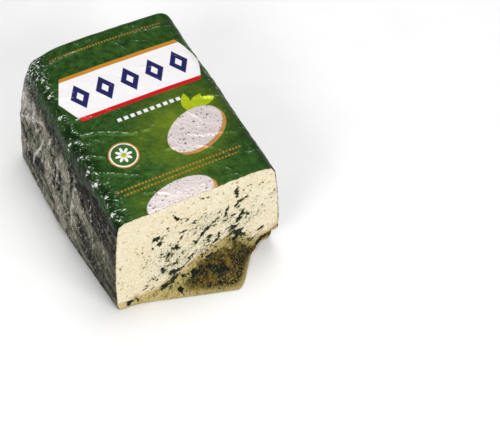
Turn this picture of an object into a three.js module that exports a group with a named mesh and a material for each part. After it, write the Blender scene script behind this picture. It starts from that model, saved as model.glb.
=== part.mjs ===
import * as THREE from 'three';

// A block of blue cheese, cut once across, in the foil that it was wrapped in whole.
// Millimetres. X runs across the cut face, Y from the cut face to the wrapped end, Z up.

// Driving dimensions of the wrapped block, measured over the foil
const BLOCK_LENGTH = 164;
const BLOCK_HEIGHT = 102;
const TOP_WIDTH = 121;
const BASE_WIDTH = 133;
const TOP_SHIFT = -6;
const BASE_BOW = 3;
const END_PINCH = 5;
const END_SPREAD = 4;
const END_RISE = 4;
const TOP_LEFT_RADIUS = 7.5;
const TOP_RIGHT_RADIUS = 11;
const BASE_CORNER_RADIUS = 6;
const END_EDGE_RADIUS = 5.5;
const SIDE_BULGE = 1.6;
const TOP_BULGE = 0.8;
const END_CROWN = 1.5;

// The wrapper: foil laid in a few plies, and how far its folds stand out from it
const FOIL_THICKNESS = 0.6;
const FOIL_CLEARANCE = 0.3;
const FOIL_SETBACK = 0.6;
const SIDE_CRUMPLE = 1.1;
const TOP_CRUMPLE = 0.35;
const CRUMPLE_WAVE = 31;
const CRUMPLE_SLANT = 1.7;
const CRUMPLE_STRETCH = 0.6;

// The foot: cheese that tore off the last slice and stayed on the block, low on the cut face
const FOOT_REACH = 23;
const FOOT_HEIGHT = 36;
const FOOT_FROM = -55;
const FOOT_PEAK = 20;
const FOOT_TO = 48;
const FOOT_CURVE = 1.7;
const FOOT_LEAST_SPREAD = 0.1;

// The chip beside the foot, under the +X edge of the cut face
const CHIP_DEPTH = 9;
const CHIP_HEIGHT = 26;
const CHIP_FROM = 38;
const CHIP_FULL = 58;

// The waves of the cut face itself
const FACE_WAVE = 0.3;
const FACE_WAVE_LENGTH = 46;

// How finely the shape is divided
const ARC_STEPS = 5;
const EDGE_STEPS = [14, 9, 12, 9];
const PLAIN_STEPS = 6;
const CRUMPLE_STEPS = 14;
const END_ARC_STEPS = 4;
const FACE_STEPS = 12;
const END_STEPS = 5;

const smooth = (from, to, value) => {
  const t = THREE.MathUtils.clamp((value - from) / (to - from), 0, 1);
  return t * t * (3 - 2 * t);
};

// How far the cut face stands out at a point of it: the foot, less the chip, and the waves
function faceRelief(x, z) {
  const spread = x < FOOT_PEAK
    ? THREE.MathUtils.clamp((x - FOOT_FROM) / (FOOT_PEAK - FOOT_FROM), 0, 1)
    : 1 - smooth(FOOT_PEAK, FOOT_TO, x);
  const top = FOOT_HEIGHT * Math.max(spread, FOOT_LEAST_SPREAD);
  const slope = Math.max(0, 1 - z / top) ** FOOT_CURVE;
  const foot = FOOT_REACH * spread * slope;
  const chip = CHIP_DEPTH * smooth(CHIP_FROM, CHIP_FULL, x) * (1 - smooth(CHIP_HEIGHT / 3, CHIP_HEIGHT, z));
  const angle = 2 * Math.PI / FACE_WAVE_LENGTH;
  const waves = FACE_WAVE * Math.sin(x * angle) * Math.cos(z * angle);
  return foot - chip + waves;
}

// The four corners of the section at a share t of the length, seen from the cut face,
// anticlockwise from the lower left
function sectionCorners(t) {
  const topLeft = TOP_SHIFT - TOP_WIDTH / 2 + END_PINCH * t;
  const topRight = TOP_SHIFT + TOP_WIDTH / 2;
  const baseLeft = -BASE_WIDTH / 2 - END_SPREAD * t - BASE_BOW * 4 * t * (1 - t);
  const top = BLOCK_HEIGHT + END_RISE * t;
  return [
    new THREE.Vector2(baseLeft, 0),
    new THREE.Vector2(BASE_WIDTH / 2, 0),
    new THREE.Vector2(topRight, top),
    new THREE.Vector2(topLeft, top),
  ];
}

// The section's outline at t: each point with its outward normal and how much the foil crumples there
function sectionOutline(t) {
  const corners = sectionCorners(t);
  const radii = [BASE_CORNER_RADIUS, BASE_CORNER_RADIUS, TOP_RIGHT_RADIUS, TOP_LEFT_RADIUS];
  const bulges = [0, SIDE_BULGE, TOP_BULGE, SIDE_BULGE];
  const crumples = [0, SIDE_CRUMPLE, TOP_CRUMPLE, SIDE_CRUMPLE];
  const count = corners.length;
  const normals = corners.map((corner, i) => {
    const along = corners[(i + 1) % count].clone().sub(corner).normalize();
    return new THREE.Vector2(along.y, -along.x);
  });
  const arcs = corners.map((corner, i) => {
    const before = normals[(i + count - 1) % count];
    const after = normals[i];
    const inward = before.clone().add(after).multiplyScalar(radii[i] / (1 + before.dot(after)));
    const centre = corner.clone().sub(inward);
    const start = before.angle();
    const sweep = THREE.MathUtils.euclideanModulo(after.angle() - start, 2 * Math.PI);
    return Array.from({ length: ARC_STEPS + 1 }, (_, step) => {
      const angle = start + sweep * step / ARC_STEPS;
      const normal = new THREE.Vector2(Math.cos(angle), Math.sin(angle));
      const point = centre.clone().addScaledVector(normal, radii[i]);
      return { point, normal, crumple: 0 };
    });
  });
  const outline = [];
  for (let i = 0; i < count; i += 1) {
    outline.push(...arcs[i]);
    const from = arcs[i].at(-1).point;
    const to = arcs[(i + 1) % count][0].point;
    for (let step = 1; step < EDGE_STEPS[i]; step += 1) {
      const share = step / EDGE_STEPS[i];
      const hump = 4 * share * (1 - share);
      const point = from.clone().lerp(to, share).addScaledVector(normals[i], bulges[i] * hump);
      outline.push({ point, normal: normals[i], crumple: crumples[i] * Math.sqrt(hump) });
    }
  }
  return outline;
}

// Foil folds: a rough rise and fall over the skin, never below it
function crumpleAt(x, y, z) {
  const angle = 2 * Math.PI / CRUMPLE_WAVE;
  const diagonal = Math.sin((y + z) * angle) * Math.sin((y - CRUMPLE_SLANT * z + x) * angle * CRUMPLE_STRETCH);
  return 0.5 + 0.5 * diagonal;
}

const cheeseInset = FOIL_THICKNESS + FOIL_CLEARANCE;
const endY = BLOCK_LENGTH;
const edgeY = BLOCK_LENGTH - END_EDGE_RADIUS;

// Where the cut ends the skin at each point of the outline
const cutLine = sectionOutline(0).map(({ point, normal }) => {
  const edge = point.clone().addScaledVector(normal, -cheeseInset);
  return -faceRelief(edge.x, edge.y);
});

// One ring round the block, from the cut (share 0) to where the end edge begins (share 1)
function sideRing(share, inset, setback, crumpled) {
  return sectionOutline(share * edgeY / endY).map(({ point, normal, crumple }, k) => {
    const start = cutLine[k] + setback;
    const y = start + (edgeY - start) * share;
    const raise = crumpled ? crumple * crumpleAt(point.x, y, point.y) : 0;
    const at = point.clone().addScaledVector(normal, raise - inset);
    return new THREE.Vector3(at.x, y, at.y);
  });
}

// The rings over the rounded edge of the wrapped end and in across its crowned face
function endRings(inset) {
  const outline = sectionOutline(1);
  const rings = [];
  for (let step = 1; step <= END_ARC_STEPS; step += 1) {
    const angle = Math.PI / 2 * step / END_ARC_STEPS;
    const reach = END_EDGE_RADIUS - inset;
    rings.push(outline.map(({ point, normal }) => {
      const at = point.clone().addScaledVector(normal, reach * Math.cos(angle) - END_EDGE_RADIUS);
      return new THREE.Vector3(at.x, edgeY + reach * Math.sin(angle), at.y);
    }));
  }
  const rim = rings.at(-1);
  const middle = new THREE.Vector3(TOP_SHIFT / 2, endY - inset, (BLOCK_HEIGHT + END_RISE) / 2);
  for (let step = 1; step <= END_STEPS; step += 1) {
    const share = step / END_STEPS;
    const rise = END_CROWN * (1 - (1 - share) ** 2);
    rings.push(rim.map((point) => point.clone().lerp(middle, share).setY(endY - inset + rise)));
  }
  return rings;
}

// The rings of the cut face, from its middle out to just short of the skin
function faceRings(edge) {
  const middle = new THREE.Vector3(TOP_SHIFT / 2, 0, BLOCK_HEIGHT / 2);
  const rings = [];
  for (let step = 0; step < FACE_STEPS; step += 1) {
    const share = step / FACE_STEPS;
    rings.push(edge.map((point) => {
      const at = middle.clone().lerp(point, share);
      return at.setY(-faceRelief(at.x, at.z));
    }));
  }
  return rings;
}

// A closed skin through a row of rings. The first and last ring are single points.
function closedSkin(rings) {
  const count = rings[0].length;
  const points = [rings[0][0], ...rings.slice(1, -1).flat(), rings.at(-1)[0]];
  const last = rings.length - 1;
  const at = (row, k) => {
    if (row === 0) return 0;
    return row === last ? points.length - 1 : 1 + (row - 1) * count + k % count;
  };
  const faces = [];
  for (let row = 0; row < last; row += 1) {
    for (let k = 0; k < count; k += 1) {
      if (row + 1 < last) faces.push(at(row, k), at(row + 1, k), at(row + 1, k + 1));
      else faces.push(at(row, k), at(last, k), at(row, k + 1));
      if (row > 0 && row + 1 < last) faces.push(at(row, k), at(row + 1, k + 1), at(row, k + 1));
    }
  }
  const geometry = new THREE.BufferGeometry().setFromPoints(points);
  geometry.setIndex(faces);
  geometry.computeVertexNormals();
  return geometry;
}

const sharesOf = (steps) => Array.from({ length: steps + 1 }, (_, step) => step / steps);

function cheeseGeometry() {
  const sides = sharesOf(PLAIN_STEPS).map((share) => sideRing(share, cheeseInset, 0, false));
  return closedSkin([...faceRings(sides[0]), ...sides, ...endRings(cheeseInset)]);
}

// The foil goes in along its inner skin and comes back over its outer one, open at the cut
function foilGeometry() {
  const innerSides = sharesOf(PLAIN_STEPS).map((share) => sideRing(share, FOIL_THICKNESS, FOIL_SETBACK, false));
  const inner = [...innerSides, ...endRings(FOIL_THICKNESS)];
  const outerSides = sharesOf(CRUMPLE_STEPS).map(
    (share) => sideRing(share, 0, FOIL_SETBACK, share > 0 && share < 1),
  );
  const outer = [...outerSides, ...endRings(0)];
  return closedSkin([...inner.reverse(), ...outer]);
}

const pieces = [
  { name: 'cheese', geometry: cheeseGeometry(), color: 0xefe3c4, roughness: 0.6, metalness: 0 },
  { name: 'foil_wrap', geometry: foilGeometry(), color: 0x1f5a2e, roughness: 0.35, metalness: 0.4 },
];

// The origin is under the middle of the whole, on the surface that it rests on
const extent = new THREE.Box3();
for (const { geometry } of pieces) {
  geometry.computeBoundingBox();
  extent.union(geometry.boundingBox);
}
const middle = extent.getCenter(new THREE.Vector3());

const group = new THREE.Group();
for (const { name, geometry, ...finish } of pieces) {
  geometry.translate(-middle.x, -middle.y, -extent.min.z);
  const mesh = new THREE.Mesh(geometry, new THREE.MeshStandardMaterial(finish));
  mesh.name = name;
  group.add(mesh);
}

export default group;
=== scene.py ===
import math
from functools import partialmethod

import bpy
import numpy as np
from mathutils import Matrix, Vector


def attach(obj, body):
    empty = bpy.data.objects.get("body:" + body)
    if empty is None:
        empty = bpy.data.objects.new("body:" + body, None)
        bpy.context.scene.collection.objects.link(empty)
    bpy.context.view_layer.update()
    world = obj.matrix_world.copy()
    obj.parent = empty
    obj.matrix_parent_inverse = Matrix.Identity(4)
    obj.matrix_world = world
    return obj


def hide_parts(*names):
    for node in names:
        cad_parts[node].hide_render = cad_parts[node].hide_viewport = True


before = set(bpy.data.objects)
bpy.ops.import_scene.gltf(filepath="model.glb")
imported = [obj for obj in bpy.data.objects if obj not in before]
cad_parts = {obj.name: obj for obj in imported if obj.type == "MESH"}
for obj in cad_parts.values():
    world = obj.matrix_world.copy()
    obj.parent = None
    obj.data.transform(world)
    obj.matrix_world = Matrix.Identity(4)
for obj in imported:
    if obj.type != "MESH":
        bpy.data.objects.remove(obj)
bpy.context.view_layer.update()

# Lengths are millimetres, apart from those of the lights and the floor, which are metres.
MM = 0.001

# The block as part.mjs builds it, before it is centred
BLOCK_LENGTH = 164
BLOCK_HEIGHT = 102
TOP_WIDTH = 121
BASE_WIDTH = 133
TOP_SHIFT = -6
BASE_BOW = 3
END_PINCH = 5
END_SPREAD = 4
END_RISE = 4
END_HEIGHT = BLOCK_HEIGHT + END_RISE
TOP_LEFT_RADIUS = 7.5
TOP_RIGHT_RADIUS = 11
BASE_CORNER_RADIUS = 6
END_EDGE_RADIUS = 5.5
SIDE_BULGE = 1.6
TOP_BULGE = 0.8
END_CROWN = 1.5
CHEESE_INSET = 0.9
FOOT_REACH = 23
FOOT_HEIGHT = 36
FOOT_FROM = -55
FOOT_PEAK = 20
FOOT_TO = 48
FOOT_CURVE = 1.7
FOOT_LEAST_SPREAD = 0.1
CHIP_DEPTH = 9
CHIP_HEIGHT = 26
CHIP_FROM = 38
CHIP_FULL = 58

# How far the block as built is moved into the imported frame
CENTRE_X = 2.921
CENTRE_Y = -72.113

# How finely the foil is divided: steps along the section's edges and corners, and along the block
FOIL_EDGE_STEPS = (40, 100, 118, 104)
FOIL_CORNER_STEPS = (8, 8, 17, 13)
FOIL_ROWS = 158
FOIL_ARC_ROWS = 9
FOIL_END_ROWS = 48

# The foil's edge at the cut: how far its lip goes in and lies under, and how many rows stay smooth
LIP_DEPTH = 4
LIP_INSET = 0.6
PLAIN_ROWS = 4

# How finely the cheese is divided: across and up its cut face, along its hidden sides, and round
# the section from which the face is made
FACE_COLUMNS = 292
FACE_ROWS = 236
HIDDEN_ROWS = 5
OUTLINE_STEPS = 400
OUTLINE_CORNER_STEPS = 64

# The cheese's hidden sides: how far inside the rim of the face they lie, where they end, and how
# far in their last ring is drawn
HIDDEN_INSET = 1.3
HIDDEN_END = BLOCK_LENGTH - CHEESE_INSET - HIDDEN_INSET
END_INSET = 3

# How far the foil's last point, in the middle of the wrapped end, stands out over the end's crown
END_LIFT = 1.15


def rgb(red, green, blue):
    """A colour given as it shows on a screen, from 0 to 255"""
    linear = [((v / 255 + 0.055) / 1.055) ** 2.4 if v > 10 else v / 3295 for v in (red, green, blue)]
    return (*linear, 1.0)


def lerp(low, high, share):
    return low + (high - low) * share


def smooth(low, high, value):
    t = np.clip((value - low) / (high - low), 0, 1)
    return t * t * (3 - 2 * t)


def hump(value, width):
    """1 at 0, and less on both sides of it"""
    return np.exp(-((value / width) ** 2))


def turned(a, b, turn):
    """A place's coordinates along and across a direction, whose turn is in degrees"""
    cosine = math.cos(math.radians(turn))
    sine = math.sin(math.radians(turn))
    return a * cosine + b * sine, b * cosine - a * sine


# Repeatable noise


def lattice_random(i, j, seed):
    """A number from 0 to 1 for each lattice point, the same in every run"""
    i = np.asarray(i, np.int64)
    j = np.asarray(j, np.int64)
    mixed = (i * 73856093) ^ (j * 19349663) ^ (seed * 83492791)
    mixed = mixed & 0xFFFFFFFF
    mixed = ((mixed ^ (mixed >> 15)) * 2246822519) & 0xFFFFFFFF
    mixed = ((mixed ^ (mixed >> 13)) * 3266489917) & 0xFFFFFFFF
    mixed = mixed ^ (mixed >> 16)
    return (mixed & 0xFFFF) / 65535.0


def cell(a, b, seed):
    """The place within its lattice cell, and the random numbers of the cell's four corners"""
    i = np.floor(a)
    j = np.floor(b)
    corners = [lattice_random(i + right, j + up, seed) for up in (0, 1) for right in (0, 1)]
    return a - i, b - j, *corners


def soft_noise(a, b, wave, seed):
    """Rounded hills, from -1 to 1"""
    u, v, near, right, upper, far = cell(a / wave, b / wave, seed)
    u = u * u * (3 - 2 * u)
    v = v * v * (3 - 2 * v)
    return 2 * lerp(lerp(near, right, u), lerp(upper, far, u), v) - 1


def rough_noise(a, b, wave, seed, octaves=3):
    """Hills on hills, each half the size of the last"""
    total = 0
    for octave in range(octaves):
        size = 0.5 ** octave
        total = total + size * soft_noise(a, b, wave * size, seed + octave)
    return total


def facets(a, b, wave, seed):
    """Flat facets between sharp creases, from -1 to 1: what crumpling does to a sheet"""
    bend = 0.45 * wave
    x = a + bend * soft_noise(a, b, 1.6 * wave, seed + 11)
    y = b + bend * soft_noise(a, b, 1.6 * wave, seed + 12)
    along, across = turned(x / wave, y / wave, 360 * lattice_random(seed, 7, 3))
    s, t, near, right, upper, far = cell(along + across * 0.5774, across * 1.1547, seed)
    lower_half = near + s * (right - near) + t * (upper - near)
    upper_half = far + (1 - s) * (upper - far) + (1 - t) * (right - far)
    return 2 * np.where(s + t < 1, lower_half, upper_half) - 1


def crumple(a, b, wave, seed):
    """Large facets broken by ever smaller ones"""
    steps = ((0.5, 1), (0.3, 0.47), (0.17, 0.22), (0.07, 0.1))
    return sum(share * facets(a, b, wave * size, seed + 20 * i) for i, (share, size) in enumerate(steps))


# The block's shape


def face_relief(x, z):
    """How far the cut face stands out towards -Y, as in part.mjs: the foot, less the chip"""
    rising = np.clip((x - FOOT_FROM) / (FOOT_PEAK - FOOT_FROM), 0, 1)
    spread = np.where(x < FOOT_PEAK, rising, 1 - smooth(FOOT_PEAK, FOOT_TO, x))
    top = FOOT_HEIGHT * np.maximum(spread, FOOT_LEAST_SPREAD)
    slope = np.maximum(0, 1 - z / top) ** FOOT_CURVE
    chip = CHIP_DEPTH * smooth(CHIP_FROM, CHIP_FULL, x) * (1 - smooth(CHIP_HEIGHT / 3, CHIP_HEIGHT, z))
    return FOOT_REACH * spread * slope - chip


def side_edges(height):
    """Where the two sides lie in x at a share of the section's height"""
    left = lerp(-BASE_WIDTH / 2, TOP_SHIFT - TOP_WIDTH / 2, height)
    right = lerp(BASE_WIDTH / 2, TOP_SHIFT + TOP_WIDTH / 2, height)
    return left, right


def section(edge_steps, corner_steps):
    """The section at the cut, anticlockwise from the lower left: points and outward normals"""
    (base_left, base_right), (left, right) = side_edges(0), side_edges(1)
    corners = np.array([(base_left, 0), (base_right, 0), (right, BLOCK_HEIGHT), (left, BLOCK_HEIGHT)])
    radii = (BASE_CORNER_RADIUS, BASE_CORNER_RADIUS, TOP_RIGHT_RADIUS, TOP_LEFT_RADIUS)
    bulges = (0, SIDE_BULGE, TOP_BULGE, SIDE_BULGE)
    along = np.roll(corners, -1, axis=0) - corners
    along = along / np.linalg.norm(along, axis=1)[:, None]
    normals = np.stack([along[:, 1], -along[:, 0]], axis=1)
    arcs = []
    for i, radius in enumerate(radii):
        before = normals[i - 1]
        after = normals[i]
        centre = corners[i] - (before + after) * radius / (1 + before @ after)
        start = math.atan2(before[1], before[0])
        sweep = (math.atan2(after[1], after[0]) - start) % (2 * math.pi)
        angles = start + sweep * np.arange(corner_steps[i] + 1) / corner_steps[i]
        arc_normals = np.stack([np.cos(angles), np.sin(angles)], axis=1)
        arcs.append((centre + radius * arc_normals, arc_normals))
    points = []
    outward = []
    for i, bulge in enumerate(bulges):
        arc, arc_normals = arcs[i]
        points.append(arc)
        outward.append(arc_normals)
        shares = (np.arange(1, edge_steps[i]) / edge_steps[i])[:, None]
        line = lerp(arc[-1], arcs[(i + 1) % 4][0][0], shares)
        points.append(line + normals[i] * bulge * 4 * shares * (1 - shares))
        outward.append(np.repeat(normals[i][None], edge_steps[i] - 1, axis=0))
    return np.concatenate(points), np.concatenate(outward)


def grown(x, z, t):
    """Where a point of the section at the cut lies in the section at a share t of the length"""
    t = np.clip(t, 0, 1)
    height = np.clip(z / BLOCK_HEIGHT, 0, 1)
    left, right = side_edges(height)
    share = np.clip((right - x) / (right - left), 0, 1)
    base_shift = -END_SPREAD * t - BASE_BOW * 4 * t * (1 - t)
    shift = lerp(base_shift, END_PINCH * t, height)
    return x + shift * share, z * (1 + END_RISE * t / BLOCK_HEIGHT)


def ring_faces(rows, columns):
    """Four-sided faces between closed rows of points"""
    row = np.arange(rows - 1)[:, None] * columns
    column = np.arange(columns)[None]
    following = (column + 1) % columns
    corners = [row + column, row + columns + column, row + columns + following, row + following]
    return np.stack([c + np.zeros_like(row + column) for c in corners], axis=-1).reshape(-1, 4)


def cap_faces(ring, tip):
    """Three-sided faces from a ring of points to the one point that closes it"""
    return np.stack([ring, np.full(len(ring), tip), np.roll(ring, -1)], axis=1)


def make_piece(name, points, quads, triangles, fields):
    """An object from points in millimetres of the block as built, with named numbers for its points"""
    moved = np.asarray(points, float) + (CENTRE_X, CENTRE_Y, 0)
    mesh = bpy.data.meshes.new(name)
    mesh.from_pydata((moved * MM).tolist(), [], quads.tolist() + triangles.tolist())
    for field, values in fields.items():
        kind = "FLOAT_VECTOR" if values.ndim == 2 else "FLOAT"
        layer = mesh.attributes.new(field, kind, "POINT")
        layer.data.foreach_set("vector" if values.ndim == 2 else "value", values.astype(np.float32).ravel())
    mesh.shade_smooth()
    mesh.update()
    piece = bpy.data.objects.new(name, mesh)
    bpy.context.scene.collection.objects.link(piece)
    return piece


# The foil


# Wrinkles across the top: each from one place to another in x and y, with its height and width
TOP_WRINKLES = (
    (-58.3, 82.2, -17, 65.5, 0.9, 1.5), (-17, 65.5, -4, 68, 0.5, 1.3),
    (35.8, 76, 50.9, 71, 0.7, 1.3), (-66, 50.4, -31, 30, 0.6, 1.4),
    (-60, 96, -40, 92, 0.6, 1.6), (-62, 64, -48, 55, 0.7, 1.4),
    (10, 50, 46, 38, 0.35, 1.2), (20, 151, 44, 149, 0.5, 1.2),
    (-50, 150, -18, 153, 0.6, 1.4), (-40, 18, -22, 10, 0.35, 1.2),
)

# Pinches that catch the light along the top's left edge: places in x and y
EDGE_PINCHES = (
    (-60, 141), (-59, 122), (-61, 102), (-63.5, 79), (-63, 65),
    (-63.5, 51), (-63.5, 39), (-62, 26), (-63.5, 12),
)

# Each pinch has two short folds of about this size
PINCH_LENGTH = 9
PINCH_HEIGHT = 1.1
PINCH_WIDTH = 1.1
PINCH_SEED = 12

# Folds down the left side, in y and z
SIDE_FOLDS = (
    (165, 47, 120, 82, 1.6, 3), (118, 64, 134, 21, 1.5, 2.6),
    (92, 74, 90, 40, 1, 2.2), (66, 58, 60, 18, 1.1, 2.2),
    (146, 92, 130, 60, 1.2, 2.4), (104, 88, 112, 58, 0.9, 2),
    (40, 84, 30, 30, 0.7, 1.8), (82, 90, 70, 64, 0.9, 1.8),
    (20, 70, 14, 22, 0.5, 1.6),
)

# Folds down the right side, in y and z
RIGHT_FOLDS = (
    (12, 84, 40, 30, 1.2, 2.6), (58, 90, 48, 50, 1, 2.2),
    (70, 70, 98, 22, 1.3, 2.8), (112, 92, 96, 52, 1.1, 2.2),
    (150, 84, 122, 40, 1.4, 2.8), (134, 60, 150, 16, 1, 2.4),
)

# Near the cut the foil is drawn out along one direction: its turn in degrees, and how much finer
# the streaks are across it than along it
DRAWN_TURN = 22
DRAWN_SQUEEZE = 0.28

# How far from a pinch the foil glints, and how high a crest has to be to look sharp
GLINT_REACH = 4.2
CREST_HEIGHT = 0.06

# The small wrinkles on the top, and the slope of the end flaps' edges
WRINKLE_SEED = 23
WRINKLE_COUNT = 46
FLAP_SLANT = 1.4

# The pressed corner: its place, the way it is pushed, how deep, and how far round it that reaches
PRESSED_CORNER = np.array([-62.0, 166.0, 108.0])
PRESSED_WAY = np.array([0.55, -0.55, -0.63])
PRESSED_DEPTH = 4.5
PRESSED_REACH = 30.0


def fold_line(a, b, fold, seed):
    """A raised fold between two places, highest in its middle and never quite straight"""
    a0, b0, a1, b1, height, width = fold
    length = math.hypot(a1 - a0, b1 - b0)
    along = ((a - a0) * (a1 - a0) + (b - b0) * (b1 - b0)) / length
    across = ((b - b0) * (a1 - a0) - (a - a0) * (b1 - b0)) / length
    across = across + 1.4 * soft_noise(a, b, 11, seed) + 0.5 * soft_noise(a, b, 3.5, seed + 1)
    share = np.clip(along / length, 0, 1)
    taper = np.sqrt(4 * share * (1 - share))
    crest = np.exp(-np.abs(across) / width) - 0.35 * hump(across + 1.6 * width, width)
    return height * taper * crest


def end_flaps(x, z):
    """The wrapped end: side flaps first, the top flap over them and the bottom flap over that"""
    middle = TOP_SHIFT / 2
    from_side = lerp(BASE_WIDTH, TOP_WIDTH, z / BLOCK_HEIGHT) / 2 - np.abs(x - middle)
    wander = 1.2 * soft_noise(x, z, 17, 301)
    drop = END_HEIGHT - z
    top_inside = np.minimum(from_side * FLAP_SLANT + 5 - drop, z - 40) + wander
    base_inside = np.minimum(from_side * FLAP_SLANT + 3 - z, 62 - z) + wander
    return 0.7 * smooth(-0.7, 0.7, top_inside) + 0.8 * smooth(-0.7, 0.7, base_inside)


def small_wrinkles():
    """Short wrinkles strewn over the top, most of them running across the block"""
    draw = np.random.default_rng(WRINKLE_SEED)
    wrinkles = []
    for _ in range(WRINKLE_COUNT):
        x = draw.uniform(-64, 50)
        y = draw.uniform(4, 160)
        turn = math.radians(draw.normal(-14, 24))
        length = draw.uniform(5, 20)
        far_x = x + length * math.cos(turn)
        far_y = y + length * math.sin(turn)
        wrinkles.append((x, y, far_x, far_y, draw.uniform(0.12, 0.42), draw.uniform(0.7, 1.3)))
    return wrinkles


def facet_sheen(a, b, seed):
    """How brightly large, middling and small facets shine together, 0 on average"""
    steps = ((0.55, 14), (0.45, 6), (0.25, 2.8))
    return sum(share * facets(a, b, wave, seed + i) for i, (share, wave) in enumerate(steps, 5))


def folds_together(a, b, folds, seed):
    return sum(fold_line(a, b, fold, seed + 3 * index) for index, fold in enumerate(folds))


def pinch_folds():
    """Two short folds from each pinch, both with the pinch's number"""
    draw = np.random.default_rng(PINCH_SEED)
    folds = []
    for number, (pinch_x, pinch_y) in enumerate(EDGE_PINCHES):
        for turn in draw.uniform(-1.1, 1.1, 2):
            length = PINCH_LENGTH * draw.uniform(0.4, 1.1)
            far_x = pinch_x + length * math.cos(turn)
            far_y = pinch_y + length * math.sin(turn)
            height = PINCH_HEIGHT * draw.uniform(0.5, 1.1)
            folds.append((number, (pinch_x - 2, pinch_y, far_x, far_y, height, PINCH_WIDTH)))
    return folds


def top_relief(x, y, edge_left, edge_right, corner):
    """The top: crumpled most along its edges and at the pressed corner, with wrinkles and pinches"""
    shape = (0.3 + 0.6 * edge_left + 0.45 * edge_right + 0.8 * corner) * crumple(x, y, 26, 100)
    shape += (0.05 + 0.5 * edge_left + 0.3 * edge_right + 0.6 * corner) * crumple(x, y, 12, 140)
    shape += (0.35 * edge_left + 0.3 * corner) * crumple(x, y, 5, 150)
    shape += folds_together(x, y, TOP_WRINKLES, 500)
    shape += folds_together(x, y, small_wrinkles(), 700)
    for number, fold in pinch_folds():
        shape += fold_line(x, y, fold, 900 + 3 * number)
    return shape


def fine_crumple(y, z, drawn_seed, plain_seed, start):
    """A side's small facets: drawn out near the cut, and plain 40 mm beyond the start"""
    along, across = turned(y, z, DRAWN_TURN)
    near_cut = crumple(along * 0.35, across, 8, drawn_seed)
    beyond = crumple(y, z * 0.8, 11, plain_seed)
    return lerp(near_cut, beyond, smooth(start, start + 40, y))


def left_relief(y, z, size, edge_left):
    """The -X side, slightly swollen low in its middle"""
    broad = crumple(y + 0.25 * z, z * 0.8, 24, 180)
    fine = fine_crumple(y, z, 220, 225, 60)
    bulge = 1.4 * smooth(20, 70, y) * smooth(150, 110, y) * smooth(75, 30, z)
    return bulge + size * (broad + 0.5 * fine) + 0.7 * edge_left * crumple(y, z, 7, 240)


def right_relief(y, z, size):
    broad = crumple(y + 300 - 0.25 * z, z * 0.8, 25, 260)
    fine = fine_crumple(y, z, 285, 280, 50)
    return size * (broad + 0.5 * fine)


def end_relief(x, z):
    return end_flaps(x, z) + 0.7 * crumple(x + 90, z * 0.8, 23, 320) + 0.3 * crumple(x, z, 8, 340)


def glint_share(x, y, z, corner, folds):
    """Where the foil glints: at the pinches, at the pressed corner and along the sides' folds"""
    glint = np.maximum(0.75 * corner, 0.7 * smooth(0.35, 1.2, folds))
    ragged = 1 + 0.6 * soft_noise(x, y, 2.2, 951)
    for pinch_x, pinch_y in EDGE_PINCHES:
        away = np.hypot(x - pinch_x, y - pinch_y) * ragged
        glint = np.maximum(glint, smooth(GLINT_REACH, 0, away) * (z > 80))
    return glint


def foil_relief(x, y, z, normals):
    """How far the foil stands off its plain shape, how its facets shine, and where it glints"""
    side, end, top = (normals ** 2).T
    left = side * (normals[:, 0] < 0)
    right = side * (normals[:, 0] >= 0)
    under = top * (normals[:, 2] < 0)
    over = top * (normals[:, 2] >= 0)
    edge_left = smooth(-51, -62, x) * smooth(66, 94, z)
    edge_right = smooth(38, 52, x) * smooth(70, 96, z)
    corner = smooth(112, 158, y) * smooth(-34, -60, x) * smooth(40, 90, z)
    side_size = lerp(0.7, 1.5, smooth(3, 24, y)) + 0.7 * corner

    left_folds = folds_together(y, z, SIDE_FOLDS, 600)
    right_folds = folds_together(y, z, RIGHT_FOLDS, 660)
    shape = over * top_relief(x, y, edge_left, edge_right, corner)
    shape += left * (left_relief(y, z, side_size, edge_left) + left_folds)
    shape += right * (right_relief(y, z, side_size) + right_folds)
    shape += end * end_relief(x, z)
    shape = shape * smooth(0, 9, z) + under * (-0.25 + 0.2 * crumple(x, y, 20, 360))

    along, across = turned(y, z, DRAWN_TURN)
    along = along * lerp(1, 0.4, smooth(95, 45, y))
    sheen = left * facet_sheen(along, across, 180) + right * facet_sheen(along, across, 260)
    sheen = sheen + end * facet_sheen(x, z, 320) + over * facets(x, y, 6, 141)
    glint = glint_share(x, y, z, corner, left * left_folds + right * right_folds)
    return np.clip(shape, -0.55, 2.9), sheen, glint


def pressed_corner(points):
    """The top corner at the wrapped end, on the -X side, is pressed in and rounded"""
    away = np.linalg.norm(points - PRESSED_CORNER, axis=1)
    push = PRESSED_DEPTH * smooth(PRESSED_REACH, 0, away)
    return points + push[:, None] * PRESSED_WAY


def sheet_across(outline):
    """How far round the section each point lies from the middle of the top, positive towards +X"""
    x, z = outline.T
    steps = np.linalg.norm(np.roll(outline, -1, axis=0) - outline, axis=1)
    travelled = np.concatenate([[0], np.cumsum(steps)[:-1]])
    on_base = z < BLOCK_HEIGHT / 2
    middle = np.argmin(np.where(on_base, np.inf, np.abs(x - TOP_SHIFT)))
    return travelled[middle] - travelled


def foil_edge(outline, outward, across):
    """Where the foil ends at each point of the section: a ragged line that follows the cut face"""
    edge_x, edge_z = (outline - outward * CHEESE_INSET).T
    small = 0.5 * soft_noise(across, 0 * across, 2.6, 71)
    broad = 0.35 * soft_noise(across, 0 * across, 9, 72)
    return 0.9 + small + broad - face_relief(edge_x, edge_z)


def foil_row(x, y, z, normal, sheet_x, sheet_y, inset=0.0):
    """One row round the foil: its points, their normals, their places on the sheet, and its inset"""
    drop = np.maximum(0, BLOCK_HEIGHT + END_RISE * np.clip(y / BLOCK_LENGTH, 0, 1) - z)
    points = np.stack([x, y, z], axis=1)
    return points, normal, np.stack([sheet_x, sheet_y, drop], axis=1), np.full(len(x), inset)


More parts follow.
